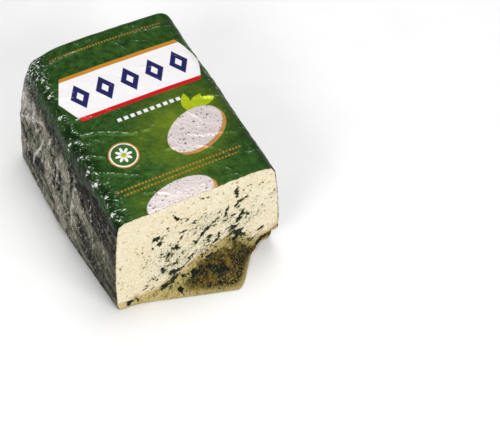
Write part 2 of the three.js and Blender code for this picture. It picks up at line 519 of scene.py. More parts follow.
def foil_rows():
    """Rows round the block, in order: the turned-in lip, the sides, the end's rounded edge, the end"""
    outline, outward = section(FOIL_EDGE_STEPS, FOIL_CORNER_STEPS)
    columns = len(outline)
    x0, z0 = outline.T
    nx, nz = outward.T
    across = sheet_across(outline)
    start = foil_edge(outline, outward, across)
    edge_y = BLOCK_LENGTH - END_EDGE_RADIUS
    normal = np.stack([nx, 0 * nx, nz], axis=1)
    for depth in (LIP_DEPTH, 0):
        y = start + depth
        x, z = grown(x0, z0, y / BLOCK_LENGTH)
        yield foil_row(x, y, z, normal, across, y, LIP_INSET)
    for share in np.arange(FOIL_ROWS + 1) / FOIL_ROWS:
        x, z = grown(x0, z0, share * edge_y / BLOCK_LENGTH)
        y = start + (edge_y - start) * share
        yield foil_row(x, y, z, normal, across, y)
    x1, z1 = grown(x0, z0, 1)
    for angle in np.arange(1, FOIL_ARC_ROWS + 1) / FOIL_ARC_ROWS * math.pi / 2:
        level = math.cos(angle)
        back = END_EDGE_RADIUS * (level - 1)
        rim_x = x1 + nx * back
        rim_z = z1 + nz * back
        normal = np.stack([nx * level, 0 * nx + math.sin(angle), nz * level], axis=1)
        y = np.full(columns, edge_y + END_EDGE_RADIUS * math.sin(angle))
        yield foil_row(rim_x, y, rim_z, normal, across, y)
    normal = np.tile([0.0, 1.0, 0.0], (columns, 1))
    for share in (np.arange(1, FOIL_END_ROWS) / FOIL_END_ROWS) ** 0.85:
        x = lerp(rim_x, TOP_SHIFT / 2, share)
        z = lerp(rim_z, END_HEIGHT / 2, share)
        y = np.full(columns, BLOCK_LENGTH + END_CROWN * (1 - (1 - share) ** 2))
        sheet_y = BLOCK_LENGTH + END_HEIGHT - z
        yield foil_row(x, y, z, normal, x - TOP_SHIFT, sheet_y)


def crest_field(lift):
    """1 on sharp crests and -1 in sharp creases, from rows of heights"""
    beside = np.roll(lift, 1, 0) + np.roll(lift, -1, 0) + np.roll(lift, 1, 1) + np.roll(lift, -1, 1)
    crest = np.clip((lift - beside / 4) / CREST_HEIGHT, -1, 1)
    crest[:PLAIN_ROWS] = 0
    return crest.ravel()


def build_foil():
    rows = list(foil_rows())
    columns = len(rows[0][0])
    points, normals, sheet, inset = (np.concatenate(parts) for parts in zip(*rows))
    lift, sheen, glint = foil_relief(*points.T, normals)
    from_cut = smooth(1.5, 9, np.arange(len(points)) // columns)
    lift = np.where(inset > 0, -inset, lift * lerp(0.25, 1, from_cut))
    points = pressed_corner(points + normals * lift[:, None])
    points[:, 2] = np.maximum(points[:, 2], 0)

    triangles = cap_faces(np.arange(len(points) - columns, len(points)), len(points))
    centre = (TOP_SHIFT / 2, BLOCK_LENGTH + END_CROWN + END_LIFT, END_HEIGHT / 2)
    points = np.concatenate([points, [centre]])
    sheet = sheet + (CENTRE_X + TOP_SHIFT, CENTRE_Y, 0)
    facing = np.stack([crest_field(lift.reshape(-1, columns)), sheen, glint], axis=1)
    fields = {"sheet": sheet, "facing": facing}
    fields = {name: np.concatenate([numbers, numbers[-1:]]) for name, numbers in fields.items()}
    return make_piece("foil_skin", points, ring_faces(len(rows), columns), triangles, fields)


# The cheese


# Mould marks of the cut face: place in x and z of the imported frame, half length, half width,
# turn in degrees from the horizontal, and depth
MAIN_MARKS = (
    (-33.4, 70.3, 3, 2.2, 70, 1.8), (-31.2, 62.9, 3, 1.8, 20, 1.2),
    (-36.5, 60.5, 2.2, 1, 60, 0.8), (-18.2, 51, 2.9, 2.5, 50, 2.4),
    (-14.6, 60, 3.4, 0.7, 60, 1), (-12.4, 67, 3.2, 1, 15, 1),
    (4.5, 57.4, 6, 1.5, 48, 2), (11, 64.5, 5, 0.9, 42, 1.4),
    (8.9, 48.8, 2.2, 1.9, 10, 1.8), (-1.5, 48, 4.6, 0.8, 60, 1.2),
    (-18.6, 85, 5.6, 1, -58, 1.2), (-10.5, 78.5, 2.6, 0.7, 40, 0.8),
    (-27.8, 30.3, 5.4, 1.2, -78, 1.6), (-18.7, 22.2, 4.4, 3.4, 30, 0.9),
    (-41.1, 16.3, 4.4, 1.4, 35, 1.2), (20.6, 68.5, 1.9, 5.4, -12, 1.8),
    (26.5, 62.5, 2.4, 1.2, 40, 1), (31.2, 55.5, 3.2, 3.2, 40, 1.6),
    (34, 60.5, 3.6, 1.4, 60, 1), (28, 46.5, 5.4, 1.4, 35, 1),
    (33.5, 77.5, 5.4, 1.3, 28, 1.4), (28.6, 73, 2.6, 1.6, 60, 1),
    (28.1, 87.6, 1.8, 4.4, 8, 0.8), (51.9, 32.6, 2.8, 1.6, 20, 1.2),
    (31.8, 36, 6.5, 4.6, 35, 0.9), (14.5, 40.5, 4.8, 0.9, 44, 1),
    (-5.5, 33.2, 4.2, 1.1, 40, 1), (-8.5, 27, 5, 0.9, 45, 1),
    (-2.6, 14.6, 6, 3.6, 40, 1.8), (13.6, 13.6, 6.6, 5.6, 55, 2.2),
    (-15.7, 4.8, 2.6, 1.9, 0, 1.2), (-26, 9, 3.4, 1.6, 30, 1.2),
    (-52.9, 4.6, 6, 2, 15, 1.6), (9.1, 26.1, 3.6, 1.8, 35, 1.2),
    (-25.2, 77.5, 1.8, 0.7, 20, 0.5), (-24, 44, 3, 0.7, 60, 0.6),
)

# Where the plain cut ends and the torn part begins, in x and z of the block as built
TORN_EDGE = (
    (-66, 2), (-57, 3), (-40, 5), (-29, 10), (-18, 15), (-9, 19), (7, 31),
    (17, 34), (27, 33), (36, 25), (44, 18), (54, 21), (66, 28),
)

# How much higher the torn part reaches than that on the +X half, and the fine ridges along its edge:
# their turn in degrees, how much they are drawn out, and how far apart they are
TORN_RISE = 4
RIDGE_TURN = 32
RIDGE_SQUEEZE = 0.3
RIDGE_WAVE = 3.2

# The mould marks: the main ones' strength and extra width, and the number of scattered ones
MARK_SEED = 41
MAIN_STRENGTH = 1.5
MAIN_WIDTH = 1.3
MARK_COUNT = 1900


def stamp(field, x, z, mark, strength):
    """Raises the field to the strength inside the mark's ragged outline"""
    place_x, place_z, length, width, turn = mark
    near = np.hypot(x - place_x, z - place_z) < 1.7 * max(length, width) + 1
    along, across = turned(x[near] - place_x, z[near] - place_z, turn)
    bend = 0.5 * width * soft_noise(x[near], z[near], 2.4, 881)
    ragged = 0.55 * rough_noise(x[near], z[near], 1.1 + 0.25 * min(length, width), 891, 2)
    inside = np.clip((1.05 - np.hypot(along / length, (across + bend) / width) + ragged) / 0.5, 0, 1)
    field[near] = np.maximum(field[near], strength * inside)


def torn_top(x):
    return np.interp(x, *np.array(TORN_EDGE, float).T)


def mould_chance(x, z):
    """How likely mould is: most in the middle and on the right, least on the left and along the top"""
    across = 0.07 + 0.93 * smooth(-52, -18, x) * (1 - 0.9 * smooth(38, 50, x))
    under_top = 1 - 0.88 * smooth(66, 82, z - 0.25 * np.clip(x, 0, 34))
    patches = 0.35 + 0.65 * smooth(-0.4, 0.3, soft_noise(x, z, 13, 61))
    near_torn = 0.8 * hump(z - torn_top(x), 7) * smooth(-40, -20, x)
    return np.minimum(1, across * under_top * patches + near_torn)


def scattered_marks():
    """Smaller marks in loose clusters, drawn out more or less along one direction"""
    draw = np.random.default_rng(MARK_SEED)
    marks = []
    while len(marks) < MARK_COUNT:
        x = draw.uniform(-64, 64)
        z = draw.uniform(2, 98)
        turn = draw.uniform(0, 180)
        spread = draw.uniform(0.8, 5.0)
        members = draw.integers(3, 12)
        bold = 1 + draw.exponential(0.25)
        if draw.random() > mould_chance(x, z):
            continue
        for _ in range(members):
            along = draw.normal(0, spread)
            across = draw.normal(0, 0.4 * spread)
            off_x, off_z = turned(along, across, -turn)
            size = bold * (0.18 + draw.exponential(0.2))
            marks.append((
                x + off_x,
                z + off_z,
                size * draw.uniform(1.0, 1.6),
                max(0.26, size * draw.uniform(0.7, 1.0)),
                turn + draw.normal(0, 60),
                size * draw.uniform(0.5, 1.1),
                draw.uniform(0.4, 1.15),
            ))
    return marks


def torn_share(x, z):
    """How much a place of the face belongs to the torn part, from 0 to 1, and how high that reaches"""
    edge = torn_top(x) + TORN_RISE * smooth(-40, 0, x)
    edge = edge + 3.6 * soft_noise(x, z, 9, 31) + 3.0 * soft_noise(x, z, 3.2, 32)
    return smooth(7.5, -6, z - edge), edge


def edge_distance(x, z):
    """How far a place of the face is from the nearer side"""
    left, right = side_edges(z / BLOCK_HEIGHT)
    return np.minimum(x - left, right - x)


def mould_fields(x, z):
    """How mouldy each place of the face is, and how deep its pits are"""
    mould = np.zeros_like(x)
    pits = np.zeros_like(x)
    main_marks = [
        (mark_x, mark_z, length, MAIN_WIDTH * width, turn, depth, MAIN_STRENGTH)
        for mark_x, mark_z, length, width, turn, depth in MAIN_MARKS
    ]
    for *mark, depth, strength in main_marks + scattered_marks():
        stamp(mould, x, z, mark, strength)
        stamp(pits, x, z, mark, depth)
    return mould, pits


def crumb_relief(x, z):
    """The torn part's crumbs, which fade out at the rim of the face"""
    crumbs = 1.6 * facets(x, z, 8, 41) + 1.3 * facets(x, z, 3.9, 42) + 0.8 * rough_noise(x, z, 2.0, 43)
    from_rim = np.minimum(np.minimum(z, BLOCK_HEIGHT - z), edge_distance(x, z))
    return crumbs * smooth(0.5, 6, from_rim)


def ridge_noise(x, z):
    along, across = turned(x, z, RIDGE_TURN)
    return rough_noise(along * RIDGE_SQUEEZE, across, RIDGE_WAVE, 47)


def face_surface(x, z):
    """How far each point of the cut face stands out, then its mould, torn share, painted shade and haze"""
    mould, pits = mould_fields(x + CENTRE_X, z)
    torn, edge = torn_share(x, z)
    grain = 0.2 * rough_noise(x, z, 2.6, 21) + 0.2 * facets(x, z, 1.9, 25)
    wave = 0.28 * soft_noise(x, z, 24, 22) + 0.16 * facets(x * 0.5, z, 9, 23)
    rough = lerp(grain + wave, crumb_relief(x, z), torn)
    ridge = ridge_noise(x, z)
    band = hump(z - edge + 1, 7) * smooth(-50, -15, x)
    mould = np.maximum(mould, band * np.clip(-3.2 * ridge - 1.1, 0, 1.2))
    lip = 0.7 * hump(z - edge + 3.2, 2.4) * smooth(-50, -20, x)
    relief = face_relief(x, z) + rough - lip - pits + 0.8 * band * ridge
    # Painted shade over the torn foot: deeper further below its edge and towards +X, lighter again near the
    # base
    shade = smooth(2, 14, edge - z) * smooth(-38, 2, x) * (1 - 0.7 * smooth(8, 1, z))
    return relief, mould, torn, shade, mould_chance(x, z)


def coons_patch(base, top, left, right):
    """Fills four joined curves with a grid of points, row by row from the base"""
    s = np.linspace(0, 1, len(base))[None, :, None]
    r = np.linspace(0, 1, len(left))[:, None, None]
    ruled = lerp(base[None], top[None], r) + lerp(left[:, None], right[:, None], s)
    corners = lerp(lerp(base[0], base[-1], s), lerp(top[0], top[-1], s), r)
    return ruled - corners


def resampled(points, count):
    """The same curve with evenly spaced points"""
    steps = np.linalg.norm(np.diff(points, axis=0), axis=1)
    place = np.concatenate([[0], np.cumsum(steps)])
    wanted = np.linspace(0, place[-1], count + 1)
    return np.stack([np.interp(wanted, place, column) for column in points.T], axis=1)


def face_grid():
    """Points of the cut face in x and z, row by row from the base"""
    outline, outward = section((OUTLINE_STEPS,) * 4, (OUTLINE_CORNER_STEPS,) * 4)
    outline = outline - outward * CHEESE_INSET
    stride = OUTLINE_STEPS + OUTLINE_CORNER_STEPS
    cuts = [OUTLINE_CORNER_STEPS // 2 + side * stride for side in range(5)]
    looped = np.concatenate([outline, outline])
    base, right, top, left = (looped[first:last + 1] for first, last in zip(cuts, cuts[1:]))
    return coons_patch(
        resampled(base, FACE_COLUMNS),
        resampled(top[::-1], FACE_COLUMNS),
        resampled(left[::-1], FACE_ROWS),
        resampled(right, FACE_ROWS),
    )


def hidden_rings(rim):
    """Rings from the rim of the cut face back to the wrapped end, a little inside the foil"""
    inward = np.array([TOP_SHIFT / 2, 0, BLOCK_HEIGHT / 2]) - rim
    inward[:, 1] = 0
    inward = inward / np.linalg.norm(inward, axis=1)[:, None]
    rings = []
    for row in range(1, HIDDEN_ROWS + 1):
        share = (row / HIDDEN_ROWS) ** 2
        y = lerp(rim[:, 1], HIDDEN_END, share)
        x, z = grown(rim[:, 0], rim[:, 2], y / BLOCK_LENGTH)
        rings.append(np.stack([x, y, z], axis=1) + inward * HIDDEN_INSET * min(1, 3 * share))
    rings[-1] = rings[-1] + inward * END_INSET
    return pressed_corner(np.concatenate(rings))


def build_cheese():
    x, z = face_grid().reshape(-1, 2).T
    relief, mould, torn, shade, haze = face_surface(x, z)
    points = np.stack([x, -relief, z], axis=1)
    index = np.arange(len(points)).reshape(FACE_ROWS + 1, FACE_COLUMNS + 1)
    corners = [index[:-1, :-1], index[:-1, 1:], index[1:, 1:], index[1:, :-1]]
    quads = [np.stack(corners, axis=-1).reshape(-1, 4)]

    rim = np.concatenate([index[0, :-1], index[:-1, -1], index[-1, :0:-1], index[:0:-1, 0]])
    count = len(rim)
    rows = [rim] + [len(points) + row * count + np.arange(count) for row in range(HIDDEN_ROWS)]
    for near, far in zip(rows, rows[1:]):
        quads.append(np.stack([near, far, np.roll(far, -1), np.roll(near, -1)], axis=1))
    end = (TOP_SHIFT / 2, HIDDEN_END + 1, END_HEIGHT / 2)
    points = np.concatenate([points, hidden_rings(points[rim]), [end]])
    triangles = cap_faces(rows[-1], len(points) - 1)

    unseen = len(points) - len(mould)
    marks = np.pad(np.stack([mould, torn, shade], axis=1), ((0, unseen), (0, 0)))
    fields = {"marks": marks, "haze": np.pad(haze, (0, unseen))}
    return make_piece("cheese_block", points, np.concatenate(quads), triangles, fields)


# Materials


class Wire:
    """One output in a material's node tree, which adds, multiplies and compares like a number"""

    def __init__(self, socket):
        self.socket = socket
        self.tree = socket.id_data

    def math(self, operation, *others, first=()):
        node = new_node(self.tree, "Math", dict(enumerate((*first, self, *others))))
        node.operation = operation
        return Wire(node.outputs[0])

    __add__ = partialmethod(math, "ADD")
    __sub__ = partialmethod(math, "SUBTRACT")
    __mul__ = partialmethod(math, "MULTIPLY")
    __truediv__ = partialmethod(math, "DIVIDE")
    size = partialmethod(math, "ABSOLUTE")
    least = partialmethod(math, "MINIMUM")
    most = partialmethod(math, "MAXIMUM")

    def __rsub__(self, other):
        return self.math("SUBTRACT", first=(other,))

    def ramp(self, low, high):
        """0 at low and below, 1 at high and above"""
        node = new_node(self.tree, "MapRange", {"Value": self, "From Min": low, "From Max": high})
        return Wire(node.outputs[0])

    def inside(self, soft=0.5):
        """1 where the distance is above nothing, with an edge that is soft millimetres wide"""
        return self.ramp(-soft / 2, soft / 2)

    def parts(self):
        """The three numbers of a vector"""
        return map(Wire, new_node(self.tree, "SeparateXYZ", {0: self}).outputs)


def fill(node, inputs):
    """Gives the inputs, each known by its name or number, a wire or a plain value"""
    for name, item in inputs.items():
        if isinstance(item, Wire):
            item.tree.links.new(item.socket, node.inputs[name])
        else:
            node.inputs[name].default_value = item


def new_node(tree, kind, inputs):
    node = tree.nodes.new("ShaderNode" + kind)
    fill(node, inputs)
    return node


def mix(share, low, high):
    """A colour from low, where the share is 0, to high, where it is 1"""
    node = new_node(share.tree, "Mix", {0: share, 6: low, 7: high})
    node.data_type = "RGBA"
    return Wire(node.outputs[2])


def layered(colour, *layers):
    """The colour with each tint laid over it in turn, as far as the tint's share says"""
    for share, tint in layers:
        colour = mix(share, colour, tint)
    return colour


def field(tree, name, output="Vector"):
    """What the mesh carries under this name"""
    node = tree.nodes.new("ShaderNodeAttribute")
    node.attribute_name = name
    return Wire(node.outputs[output])


def place(tree):
    """The position on the object"""
    return Wire(tree.nodes.new("ShaderNodeTexCoord").outputs["Object"])


def noise(where, wave, detail, roughness):
    """Noise whose largest features are about wave millimetres across"""
    inputs = {"Vector": where, "Scale": 1 / (wave * MM), "Detail": detail, "Roughness": roughness}
    return Wire(new_node(where.tree, "TexNoise", inputs).outputs[0])


def drawn_place(where):
    """The place on the foil's sides, squeezed along the direction in which the foil is drawn"""
    x, y, z = where.parts()
    along, across = turned(x + y, z, DRAWN_TURN)
    inputs = {0: along * DRAWN_SQUEEZE, 1: across, 2: (x - y) * DRAWN_SQUEEZE}
    return Wire(new_node(where.tree, "CombineXYZ", inputs).outputs[0])


def new_material(name):
    material = bpy.data.materials.new(name)
    material.use_nodes = True
    tree = material.node_tree
    return material, tree, tree.nodes["Principled BSDF"]


def bump(height, distance):
    inputs = {"Height": height, "Distance": distance * MM, "Strength": 1.0}
    return Wire(new_node(height.tree, "Bump", inputs).outputs[0])


# The print: where each motif lies on the sheet, across (a) and along (b), in millimetres.
# An oval or a glow has its middle, its half length and half width, and its turn in degrees.
# A leaf has its middle and its turn.
BAND_MIDDLE = 40
BAND_HALF = 17.5
BAND_REACH = 57
STRIPE_WIDTH = 3.4
LOZENGE_PITCH = 20
LOZENGE_HALF_WIDTH = 7.6
LOZENGE_HALF_LENGTH = 11.5
LOZENGE_ROW_HALF = 48
LOZENGE_CORE = 0.62
OVAL = (22, -20, 25, 15, 24)
CUT_OVAL = (-14, -68, 26, 13, 8)
GLOW = (16, -14, 52, 40, 20)
LOW_GLOW = (-10, -58, 48, 26, 8)
FLOWER = (-34, -20)
FLOWER_RADIUS = 11
LEAF_HALF_LENGTH = 8.5
LEAF_HALF_WIDTH = 3.6
LEAVES = ((27, 3.7, 75), (34, 1.6, 40), (40, -0.2, 5))

# The foil's colours: those of its print, then those of the bare metal, which also paint reflection on its
# facets; SHADOWED is painted shade, and PALE_SILVER and GLINT are painted highlights
GREEN = rgb(58, 94, 38)
DARK_GREEN = rgb(32, 60, 24)
DEEP_GREEN = rgb(14, 34, 12)
GLOW_GREEN = rgb(108, 128, 34)
LEAF_GREEN = rgb(168, 186, 30)
WHITE = rgb(236, 233, 234)
NAVY = rgb(36, 36, 92)
RED = rgb(196, 22, 30)
GOLD = rgb(190, 130, 44)
DULL_GOLD = rgb(152, 116, 46)
TAN = rgb(186, 136, 78)
CREAM = rgb(214, 203, 200)
SPECK = rgb(96, 100, 92)
SILVER = rgb(116, 117, 98)
WARM_SILVER = rgb(186, 178, 164)
DARK_SILVER = rgb(26, 27, 20)
SHADE_SILVER = rgb(78, 80, 72)
EVEN_SILVER = rgb(176, 176, 168)
GREEN_SILVER = rgb(160, 166, 150)
PINK_SILVER = rgb(216, 206, 194)
SHADOWED = rgb(16, 20, 12)
PALE_SILVER = rgb(240, 234, 228)
GLINT = rgb(250, 252, 248)

# How strongly the foil and the cheese mirror, and the tint of the foil's mirroring at a low angle
SPECULAR = 0.15
EDGE_TINT = (0.2, 0.2, 0.18, 1.0)


def oval_distance(a, b, oval):
    """How far inside the oval a place is, in millimetres near its edge"""
    centre_a, centre_b, half_a, half_b, turn = oval
    along, across = turned(a - centre_a, b - centre_b, turn)
    along = along / half_a
    across = across / half_b
    length = (along * along + across * across).math("SQRT")
    return (1 - length) * min(half_a, half_b)


def leaf_distance(a, b, turn):
    """How far inside a leaf a place is that is given from the leaf's middle"""
    along, across = turned(a, b, turn)
    along = along / LEAF_HALF_LENGTH
    return (1 - along * along) * LEAF_HALF_WIDTH - across.size()


def from_middle(step):
    """How far a place is from the middle of its step, as a share of the step"""
    return (step - step.math("FLOOR") - 0.5).size()


def draw_band(a, b, colour):
    """A white band with pointed ends, between a gold and a red stripe, with a row of navy lozenges"""
    off = (b - BAND_MIDDLE).size()
    reach = BAND_REACH - a.size() - off * 0.45
    white = (BAND_HALF - off).least(reach).inside()
    stripes = (BAND_HALF + STRIPE_WIDTH - off).least(reach).inside()
    side = (b - BAND_MIDDLE).ramp(-1, 1)
    local = from_middle(a / LOZENGE_PITCH + 0.5) * LOZENGE_PITCH
    row = (LOZENGE_ROW_HALF - a.size()).inside()
    shape = 1 - local / LOZENGE_HALF_WIDTH - off / LOZENGE_HALF_LENGTH
    navy = (shape * LOZENGE_HALF_WIDTH).inside() * row
    core = ((shape - LOZENGE_CORE) * LOZENGE_HALF_WIDTH).inside() * row
    stripe = mix(side, RED, GOLD)
    return layered(colour, (stripes, stripe), (white, WHITE), (navy, NAVY), (core, WHITE))


def draw_flower(a, b, colour):
    """A gold and a white ring round a flower of eight petals"""
    da = a - FLOWER[0]
    db = b - FLOWER[1]
    far = (da * da + db * db).math("SQRT")
    petals = (db.math("ARCTAN2", da) * 4).math("COSINE").size()
    return layered(
        colour,
        ((FLOWER_RADIUS - far).inside(), GOLD),
        ((FLOWER_RADIUS - 0.9 - far).inside(), WHITE),
        ((FLOWER_RADIUS - 1.8 - far).inside(), GREEN),
        ((petals * 4.4 + 2.0 - far).inside(), WHITE),
        ((2.1 - far).inside(), LEAF_GREEN),
    )


def draw_ovals(a, b, colour, where):
    """Two speckled cream ovals with tan rims, the second one cut across, and a few leaves"""
    speckle = noise(where, 2.2, 3, 0.6).ramp(0.6, 0.66)
    for leaf_a, leaf_b, turn in LEAVES:
        leaf = leaf_distance(a - leaf_a, b - leaf_b, turn)
        colour = mix(leaf.inside(), colour, LEAF_GREEN)
    for oval in (OVAL, CUT_OVAL):
        near = oval_distance(a, b, oval)
        rim = oval_distance(a - 1.6, b + 2.6, oval)
        colour = mix(rim.inside(), colour, TAN)
        colour = mix(near.inside(), colour, mix(speckle, CREAM, SPECK))
    return colour


def draw_dashes(a, b, colour):
    """A row of white dashes and three rows of small dull gold ones"""
    for row, low, high, pitch, tall, tint in (
        (9, -25, 25, 5.2, 1.5, WHITE),
        (-47, -52, 44, 2.6, 0.8, DULL_GOLD),
        (-51, -48, 40, 2.6, 0.7, DULL_GOLD),
        (80, -48, 46, 2.4, 0.8, DULL_GOLD),
    ):
        bar = (pitch * 0.3 - from_middle(a / pitch) * pitch).least(tall - (b - row).size())
        bar = bar.least((high - a).least(a - low))
        colour = mix(bar.inside(), colour, tint)
    return colour


class Skin:
    """What the foil's material reads from its mesh, and the noises that its parts share"""

    def __init__(self, tree):
        self.a, self.b, self.drop = field(tree, "sheet").parts()
        self.crest, self.sheen, self.glint = field(tree, "facing").parts()
        self.where = place(tree)
        self.fine = noise(self.where, 1.4, 2, 0.6)
        self.sparkle = noise(self.where, 2.6, 3, 0.7)
        self.streaks = drawn_place(self.where)
        self.streak = noise(self.streaks, 2.6, 4, 0.7)
        self.at_edge = (self.a * -1 - 50).ramp(0, 8)
        off_band = (self.b - BAND_MIDDLE).size()
        self.on_band = off_band.ramp(BAND_HALF + 4, BAND_HALF + 2) * (58 - self.a.size()).inside()


def printed_colour(skin):
    """The green ground with its glow and its motifs, with painted shade on facets along the top's left edge
    """
    a = skin.a
    b = skin.b
    cloud = noise(skin.where, 34, 3, 0.6)
    mottled = noise(skin.where, 5, 4, 0.7)
    glow = oval_distance(a, b, GLOW) / GLOW[3]
    lit = glow.ramp(0, 0.8) * cloud.ramp(0.3, 0.56)
    low_glow = oval_distance(a, b, LOW_GLOW) / LOW_GLOW[3]
    lit = lit.most(low_glow.ramp(0.1, 0.9) * cloud.ramp(0.32, 0.58) * 0.8)
    colour = mix(mottled.ramp(0.35, 0.65), DARK_GREEN, GREEN)
    near_edge = (a.size() - 40).ramp(0, 18)
    colour = layered(colour, (near_edge * 0.55, DARK_GREEN), (lit, GLOW_GREEN))
    colour = draw_ovals(a, b, colour, skin.where)
    colour = draw_dashes(a, b, colour)
    colour = draw_flower(a, b, colour)
    colour = draw_band(a, b, colour)
    # Painted shade: facets of low sheen along the top's left edge, off the band, darken towards deep green
    shaded = skin.at_edge * (1 - skin.on_band) * skin.sheen.ramp(0.15, -0.3)
    return mix(shaded * 0.75, colour, DEEP_GREEN)


def bright_share(skin):
    """Where glints are painted on the foil: crests paled partly by wear and partly as painted highlight,
    painted highlights along both top edges, and where the mesh says
    """
    sparkle = skin.sparkle
    drop = skin.drop
    at_edge = skin.at_edge
    glint_specks = noise(skin.where, 1.7, 3, 0.7)
    wear_and_highlight = skin.crest.ramp(0.5, 1) * sparkle.ramp(0.46, 0.6)
    wear_and_highlight = wear_and_highlight * (at_edge * 0.35 + 0.4) * (drop.ramp(6, 2) * 0.8 + 0.2)
    left = at_edge * drop.ramp(4, 2) * glint_specks.ramp(0.58, 0.64) * skin.sheen.ramp(-0.1, 0.4)
    right = (skin.a - 47).ramp(0, 8) * drop.ramp(8, 3)
    right = right * sparkle.ramp(0.61, 0.66) * skin.sheen.ramp(-0.1, 0.3) * 0.8
    shine = (skin.glint + (glint_specks - 0.5) * 2.8).ramp(0.82, 1.05) * skin.glint.ramp(0, 0.2)
    return wear_and_highlight.most(left).most(right).most(shine)


def bare_colour(skin):
    """The silver of the sides and the end: painted reflection by facets over a random tone, lighter towards
    the back, then streaks, painted shade in creases and painted highlights on crests, spots and folds
    """
    fine = skin.fine
    crest = skin.crest
    smudge = noise(skin.where, 18, 5, 0.7)
    patch = noise(skin.where, 30, 3, 0.6)
    hair = noise(skin.streaks, 1, 2, 0.6)
    far = skin.b.ramp(-62, 14)
    at_end = skin.b.ramp(84, 104)
    # The facets' sheen makes the tone painted reflection; the tone is also lighter towards the back and at
    # the end
    tone = smudge * 0.5 + skin.sheen * 0.65 + far * 0.13 + at_end * 0.1 + 0.18
    calm = skin.a.ramp(56, 70).most(at_end) * 0.75
    dark = mix(calm, DARK_SILVER, SHADE_SILVER)
    # Green and pink tinted light patches towards the back: painted reflection
    light = mix(patch.ramp(0.46, 0.56), GREEN_SILVER, PINK_SILVER)
    light = mix(calm, light, EVEN_SILVER)
    # Folds and sparkle spots, to be paled as painted highlights
    ridge = skin.glint.ramp(0.1, 0.6) * fine.ramp(0.3, 0.55) * smudge.ramp(0.3, 0.5)
    painted_sparkles = skin.sparkle.ramp(0.63, 0.69) * fine.ramp(0.5, 0.6)
    colour = layered(
        mix(tone.ramp(0.2, 0.66), dark, SILVER),
        (far * tone.ramp(0.24, 0.84) * 0.9, light),
        (tone.ramp(0.64, 0.84) * 0.6, WARM_SILVER),
        (tone.ramp(0.4, 0.16) * (far * -0.2 + 0.7), dark),
        (skin.streak.ramp(0.5, 0.62) * (far * -0.5 + 0.85), dark),
        (hair.ramp(0.58, 0.7) * 0.6, WARM_SILVER),
        # Painted highlights on crests, painted shade in creases, then painted sparkle spots and fold
        # highlights
        (crest.ramp(0.5, 1) * fine.ramp(0.3, 0.6) * (far * 0.3 + 0.6), PALE_SILVER),
        (crest.ramp(-0.3, -0.9) * 0.8, DARK_SILVER),
        (painted_sparkles * (far * 0.5 + 0.5), PALE_SILVER),
        (ridge * 0.7, PALE_SILVER),
    )
    return colour, calm


def foil_material():
    material, tree, shader = new_material("printed_foil")
    skin = Skin(tree)
    # Painted highlights: white glints over the print, and weaker ones over the bare metal
    bright = bright_share(skin)
    printed = mix(bright, printed_colour(skin), GLINT)

    border = 16 - (skin.b * -1).ramp(10, 72) * 10
    ragged = (noise(skin.where, 12, 4, 0.65) - 0.5) * 26
    below = skin.drop - border - ragged
    shadow = below.ramp(13, 3) * (skin.streak * 0.8 + skin.fine * 0.8).ramp(0.5, 0.78)
    bare, calm = bare_colour(skin)
    # The bare metal gets the band of painted shadow below the print and the painted glints
    bare = layered(bare, (shadow * (calm * -0.6 + 0.9), SHADOWED), (bright * 0.8, GLINT))
    on_print = 1 - below.inside(1.6)
    colour = mix(on_print, bare, printed)
    fill(shader, {
        "Base Color": colour,
        "Metallic": on_print * (skin.on_band * -0.25 - 0.4) + 0.75,
        "Roughness": skin.fine.ramp(0.3, 0.7) * 0.16 + 0.24,
        "Specular IOR Level": SPECULAR,
        "Specular Tint": EDGE_TINT,
        "Normal": bump(noise(skin.where, 2.2, 3, 0.65), 0.25),
    })
    return material


# The cheese's colours: those of the plain cut, of the torn part and of the mould; the shaded and the
# brightest face colours paint shade and light on the grain, and the darkest torn browns are partly painted
# shade
CREAM_FACE = rgb(235, 220, 187)
PALE_FACE = rgb(236, 226, 200)
GREY_FACE = rgb(224, 217, 192)
YELLOW_FACE = rgb(226, 206, 148)
SHADED_FACE = rgb(190, 178, 140)
LIT_FACE = rgb(252, 244, 214)
FLECK = rgb(176, 148, 78)
TORN_WASH = rgb(208, 180, 130)
TORN_CREAM = rgb(206, 190, 130)
TORN_PALE = rgb(166, 148, 78)
TORN_YELLOW = rgb(120, 96, 34)
TORN_BROWN = rgb(32, 24, 4)
TORN_GREEN = rgb(24, 28, 14)
GREY_MOULD = rgb(122, 120, 88)
MOULD = rgb(72, 76, 50)
DARK_MOULD = rgb(29, 32, 20)
HALO = rgb(196, 190, 154)


def plain_colour(where, haze, medium, grain):
    """The plain cut: cream, greyer where mould is likely, with a fine grain of painted shade and painted
    light, and a few brown flecks
    """
    broad = noise(where, 26, 3, 0.55)
    flecks = noise(where, 3.2, 1, 0.5)
    return layered(
        mix(broad.ramp(0.38, 0.62), CREAM_FACE, PALE_FACE),
        (haze.ramp(0.1, 0.8) * 0.8, GREY_FACE),
        (medium.ramp(0.52, 0.68) * 0.45, YELLOW_FACE),
        # Painted shade and painted light on the grain
        (grain.ramp(0.52, 0.7) * 0.5, SHADED_FACE),
        (grain.ramp(0.48, 0.36) * 0.7, LIT_FACE),
        (flecks.ramp(0.67, 0.72) * 0.7, FLECK),
    )


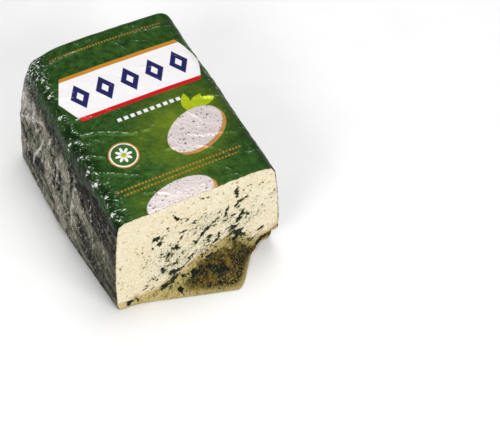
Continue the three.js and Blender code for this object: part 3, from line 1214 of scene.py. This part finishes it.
def torn_colour(where, shade, medium, fine, grain):
    """The torn part: tan near its edge, and brown, yellow and green further in, where stains are darkened
    by painted shade
    """
    blotch = noise(where, 11, 3, 0.65)
    pale = layered(
        mix(fine.ramp(0.4, 0.58), TORN_PALE, TORN_CREAM),
        (grain.ramp(0.56, 0.66) * 0.7, TORN_YELLOW),
        (medium.ramp(0.54, 0.6) * fine.ramp(0.46, 0.56) * 0.85, TORN_GREEN),
    )
    # Further in: mould and stains darkened as painted shade, with pale specks as painted highlights on
    # crumbs
    stained_and_shaded = layered(
        mix(medium.ramp(0.42, 0.6), TORN_BROWN, TORN_YELLOW),
        (blotch.ramp(0.5, 0.58), TORN_GREEN),
        (fine.ramp(0.57, 0.64) * 0.8, TORN_PALE),
        (grain.ramp(0.53, 0.62) * 0.9, TORN_BROWN),
    )
    # The painted shade takes the colour from the tan edge to the darker inside
    further_in = (shade + (fine - 0.5) * 1.1).ramp(0.2, 0.7)
    return mix(further_in, pale, stained_and_shaded)


def cheese_material():
    material, tree, shader = new_material("blue_cheese")
    mould, torn, shade = field(tree, "marks").parts()
    haze = field(tree, "haze", "Fac")
    where = place(tree)
    medium = noise(where, 6, 4, 0.65)
    fine = noise(where, 1.6, 3, 0.65)
    grain = noise(where, 1.1, 2, 0.7)

    wash = (torn * (medium * 3 - 0.5)).ramp(0, 0.14)
    torn_mixed = (torn + (medium - 0.5) * 1.3 + (fine - 0.5)).ramp(0.28, 0.72)
    plain = 1 - torn_mixed
    specks = haze.ramp(0, 0.8) * fine.ramp(0.53, 0.6) * grain.ramp(0.42, 0.58)
    soft_mould = mould + (fine - 0.5) * 0.9 + (grain - 0.5) * 0.4
    solid = (grain.ramp(0.6, 0.5) * 0.5 + 0.5).most(torn_mixed)
    colour = layered(
        plain_colour(where, haze, medium, grain),
        (wash * 0.85, TORN_WASH),
        (torn_mixed, torn_colour(where, shade, medium, fine, grain)),
        (specks * 0.8, GREY_MOULD),
        (mould.ramp(0, 0.5) * plain * 0.55, HALO),
        (soft_mould.ramp(0.25, 0.55) * plain, GREY_MOULD),
        (soft_mould.ramp(0.45, 0.8), MOULD),
        (soft_mould.ramp(0.75, 1.15) * solid, DARK_MOULD),
    )
    fill(shader, {
        "Base Color": colour,
        "Roughness": fine.ramp(0.3, 0.7) * 0.2 + torn * 0.25 + 0.45,
        "Specular IOR Level": SPECULAR,
        "Normal": bump(noise(where, 1.5, 4, 0.75), 0.7),
    })
    return material


def floor_material():
    material, tree, shader = new_material("pale_floor")
    tint = noise(place(tree), 60, 2, 0.5).ramp(0.3, 0.7)
    colour = mix(tint, rgb(247, 247, 247), rgb(251, 251, 251))
    fill(shader, {"Base Color": colour, "Roughness": 0.9, "Specular IOR Level": 0.1})
    return material


# The camera, fitted to the photograph: where it stands, how it is turned, and its lens
CAMERA_PLACE = (-302.98, -568.33, 845.35)
CAMERA_AZIMUTH = -34.79
CAMERA_ELEVATION = 52.98
CAMERA_ROLL = 6.87
LENS = 100.8
SENSOR = 36

# The place that the lights face and half the floor's width, in metres, and the light from all round
BLOCK_MIDDLE = (0, 0, 0.05)
FLOOR_HALF = 3
WORLD_LIGHT = 0.45


def aim(item, place_m, turn):
    """Puts a camera or a light into the scene"""
    item.matrix_world = Matrix.Translation(place_m) @ turn.to_4x4()
    bpy.context.scene.collection.objects.link(item)


def add_camera():
    turn = Matrix.Identity(3)
    for angle, axis in ((CAMERA_AZIMUTH, "Z"), (90 - CAMERA_ELEVATION, "X"), (CAMERA_ROLL, "Z")):
        turn = turn @ Matrix.Rotation(math.radians(angle), 3, axis)
    data = bpy.data.cameras.new("camera")
    data.sensor_fit = "HORIZONTAL"
    data.sensor_width = SENSOR
    data.lens = LENS
    camera = bpy.data.objects.new("camera", data)
    aim(camera, [v * MM for v in CAMERA_PLACE], turn)
    bpy.context.scene.camera = camera


def add_light(name, place_m, size, power):
    """A soft square light that faces the middle of the block"""
    data = bpy.data.lights.new(name, "AREA")
    data.shape = "SQUARE"
    data.size = size
    data.energy = power
    back = Vector(place_m) - Vector(BLOCK_MIDDLE)
    aim(bpy.data.objects.new(name, data), place_m, back.to_track_quat("Z", "Y").to_matrix())


def add_world():
    world = bpy.data.worlds.new("studio")
    world.use_nodes = True
    fill(world.node_tree.nodes["Background"], {"Color": (1, 1, 1, 1), "Strength": WORLD_LIGHT})
    bpy.context.scene.world = world


def add_floor():
    mesh = bpy.data.meshes.new("floor")
    corners = [(x * FLOOR_HALF, y * FLOOR_HALF, 0) for x, y in ((-1, -1), (1, -1), (1, 1), (-1, 1))]
    mesh.from_pydata(corners, [], [(0, 1, 2, 3)])
    mesh.materials.append(floor_material())
    floor = bpy.data.objects.new("floor", mesh)
    bpy.context.scene.collection.objects.link(floor)


foil = build_foil()
foil.data.materials.append(foil_material())
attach(foil, "root")
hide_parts("foil_wrap")

cheese = build_cheese()
cheese.data.materials.append(cheese_material())
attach(cheese, "root")
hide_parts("cheese")

add_floor()
add_world()
add_light("key", (0.35, -1.3, 0.95), 0.7, 9.3)
add_light("fill", (-1.1, -0.7, 1.1), 0.5, 7.5)
add_light("top", (0.15, 0.25, 1.6), 0.7, 9)
add_camera()
bpy.context.scene.view_settings.view_transform = "Standard"
